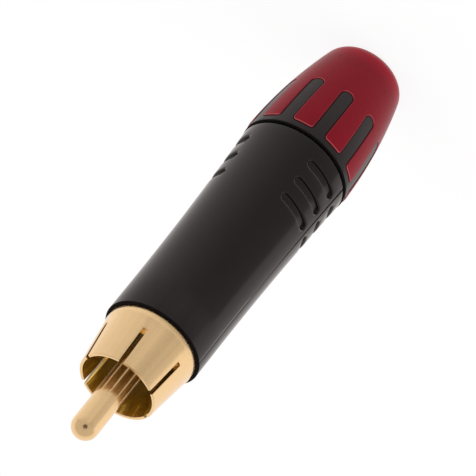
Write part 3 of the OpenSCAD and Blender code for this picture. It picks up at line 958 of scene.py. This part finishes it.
class PLUG_OT_stage(bpy.types.Operator):
    """Set up the camera, the lamps and the pale floor"""

    bl_idname = "plug.stage"
    bl_label = "Stage"

    def execute(self, context):
        settings = context.scene.plug_stage
        context.scene.view_settings.view_transform = "Standard"
        self.add_camera(context, settings)
        self.add_floor(settings)
        self.add_world(context, settings)
        for name, lamp in LAMPS.items():
            self.add_lamp(context, settings, name, *lamp)
        return {"FINISHED"}

    def around(self, azimuth, elevation=0.0):
        """Direction from the plug at an azimuth and an elevation."""
        flat = math.cos(elevation)
        return Vector((math.sin(azimuth) * flat, -math.cos(azimuth) * flat, math.sin(elevation)))

    def add_camera(self, context, s):
        """The camera, rolled so that the plug lies across the picture."""
        back = self.around(s.azimuth, s.elevation)
        level = self.around(s.azimuth + math.pi / 2)
        rise = back.cross(level)
        right = -math.cos(s.roll) * level - math.sin(s.roll) * rise
        up = math.sin(s.roll) * level - math.cos(s.roll) * rise
        aim = Vector((0, 0, s.aim_z)) + s.aim_right * right + s.aim_up * up
        data = bpy.data.cameras.new("camera")
        data.sensor_width = SENSOR_WIDTH
        data.lens = SENSOR_WIDTH * s.distance / s.view_w
        data.clip_start = CLIP_START
        camera = bpy.data.objects.new("camera", data)
        rotation = Matrix((right, up, back)).transposed()
        camera.matrix_world = Matrix.Translation(aim + s.distance * back) @ rotation.to_4x4()
        context.scene.collection.objects.link(camera)
        context.scene.camera = camera

    def add_floor(self, s):
        """A wide floor that shows white with a soft shadow, and has a dark side in reflections."""
        mesh = bmesh.new()
        bmesh.ops.create_grid(mesh, x_segments=1, y_segments=1, size=FLOOR_HALF)
        made = bpy.data.materials.new("pale_floor")
        made.use_nodes = True
        made.node_tree.nodes.clear()
        wire = Wire(made.node_tree)
        camera, glossy, through = (wire.node("ShaderNodeLightPath", output=name) for name in (
            "Is Camera Ray", "Is Glossy Ray", "Is Transmission Ray"))
        seen = s.glow + s.seen_glow * wire.maths("MAXIMUM", camera, through) + s.seen_glow * glossy
        shine = 1.0 + s.lift * camera - glossy * self.darkness(wire, s)
        tint = wire.between(glossy, WHITE, s.room)
        lit = wire.node("ShaderNodeBsdfDiffuse", None, {"Color": (*s.floor, 1)})
        white = wire.node("ShaderNodeEmission", None, {"Color": tint, "Strength": shine})
        mixed = wire.node("ShaderNodeMixShader", None, {0: seen, 1: lit, 2: white})
        wire.node("ShaderNodeOutputMaterial", None, {"Surface": mixed})
        floor = new_piece("floor", mesh, made)

    def darkness(self, wire, s):
        """Darkness of the floor in reflections: a dark side near the plug, and a streaky one farther out."""
        spot = wire.place()
        reach = wire.vector("LENGTH", spot, output="Value")
        outwards = wire.vector("NORMALIZE", spot)
        middle = wire.towards(outwards, self.around(s.azimuth + s.dark_turn))
        near = s.dark * wire.ramp(middle, -0.8, 0.9) * self.short_of(wire, outwards, s.azimuth + s.dark_end)
        near = near * wire.ramp(reach, *PAST_CAP)
        far_end = s.azimuth + s.dark_end + s.far_turn
        far = s.dark * wire.ramp(middle, -1.6, 0.0) * self.short_of(wire, outwards, far_end)
        streaks = wire.ramp(wire.noise(outwards, scale=4.0, detail=1), 0.35, 0.65, 0.62, 0.98)
        past_pin = wire.ramp(reach, *PAST_PIN, 0.45, 0.74)
        heart = wire.ramp(middle, 0.65, 0.9, 1.0, 1.3)
        far = far * streaks * past_pin * heart
        return near + (far - near) * wire.ramp(reach, *PAST_SHELL)

    def short_of(self, wire, outwards, azimuth):
        """The places that have not turned past an azimuth, with a narrow soft edge."""
        past = wire.towards(outwards, self.around(azimuth - math.pi / 2))
        return wire.ramp(past, 0.06, -0.06)

    def add_world(self, context, s):
        """A room that the camera sees as white, with a brighter far side and a dark lens in reflections."""
        world = bpy.data.worlds.new("room")
        world.use_nodes = True
        world.node_tree.nodes.clear()
        context.scene.world = world
        wire = Wire(world.node_tree)
        camera = wire.node("ShaderNodeLightPath", output="Is Camera Ray")
        glossy = wire.node("ShaderNodeLightPath", output="Is Glossy Ray")
        way = wire.node("ShaderNodeTexCoord", output="Generated")
        facing = wire.towards(way, self.around(s.azimuth, s.elevation))
        sides = wire.ramp(facing, 0.06, -0.04, s.front_shine, s.back_shine)
        lens = wire.ramp(facing, 0.944, 0.957, 0.0, s.lens_dark)
        strength = s.world + (1 - s.world) * camera + glossy * (sides - lens)
        tint = wire.between(glossy, WHITE, s.room)
        room = wire.node("ShaderNodeBackground", None, {"Color": tint, "Strength": strength})
        wire.node("ShaderNodeOutputWorld", None, {"Surface": room})

    def add_lamp(self, context, s, name, turn, elevation, distance, size, brightness):
        """A square soft box that looks at the plug, turned from the camera's direction."""
        data = bpy.data.lights.new(name, "AREA")
        data.shape = "SQUARE"
        data.size = size
        data.energy = brightness * math.pi * size * size
        lamp = bpy.data.objects.new(name, data)
        lamp.visible_glossy = False
        back = self.around(s.azimuth + math.radians(turn), math.radians(elevation))
        lamp.location = Vector((0, 0, s.aim_z)) + distance * back
        lamp.rotation_euler = back.to_track_quat("Z", "Y").to_euler()
        context.scene.collection.objects.link(lamp)


class PLUG_PT_panel(bpy.types.Panel):
    """Lists the steps that build the plug, and their settings"""

    bl_label = "Phono plug"
    bl_idname = "PLUG_PT_panel"
    bl_space_type = "VIEW_3D"
    bl_region_type = "UI"
    bl_category = "Plug"

    def draw(self, context):
        for operator in OPERATORS:
            self.layout.operator(operator.bl_idname)
        for name in SETTINGS:
            settings = getattr(context.scene, name)
            box = self.layout.box()
            for key in settings.__annotations__:
                box.prop(settings, key)


SETTINGS = {
    "plug_contact": ContactSettings,
    "plug_shell": ShellSettings,
    "plug_cap": CapSettings,
    "plug_inner": InnerSettings,
    "plug_stage": StageSettings,
}
OPERATORS = (PLUG_OT_contact, PLUG_OT_shell, PLUG_OT_cap, PLUG_OT_inner, PLUG_OT_stage)
CLASSES = (*SETTINGS.values(), *OPERATORS, PLUG_PT_panel)


def register():
    """Registers the classes and hangs the settings on the scene."""
    for made in CLASSES:
        bpy.utils.register_class(made)
    for name, settings in SETTINGS.items():
        setattr(bpy.types.Scene, name, bpy.props.PointerProperty(type=settings))


def unregister():
    """Takes the settings off the scene and unregisters the classes."""
    for name in SETTINGS:
        delattr(bpy.types.Scene, name)
    for made in reversed(CLASSES):
        bpy.utils.unregister_class(made)


def main():
    """Builds the plug and its stage."""
    register()
    bpy.ops.plug.contact()
    bpy.ops.plug.shell()
    bpy.ops.plug.cap()
    bpy.ops.plug.inner()
    bpy.ops.plug.stage()


if __name__ == "__main__":
    main()
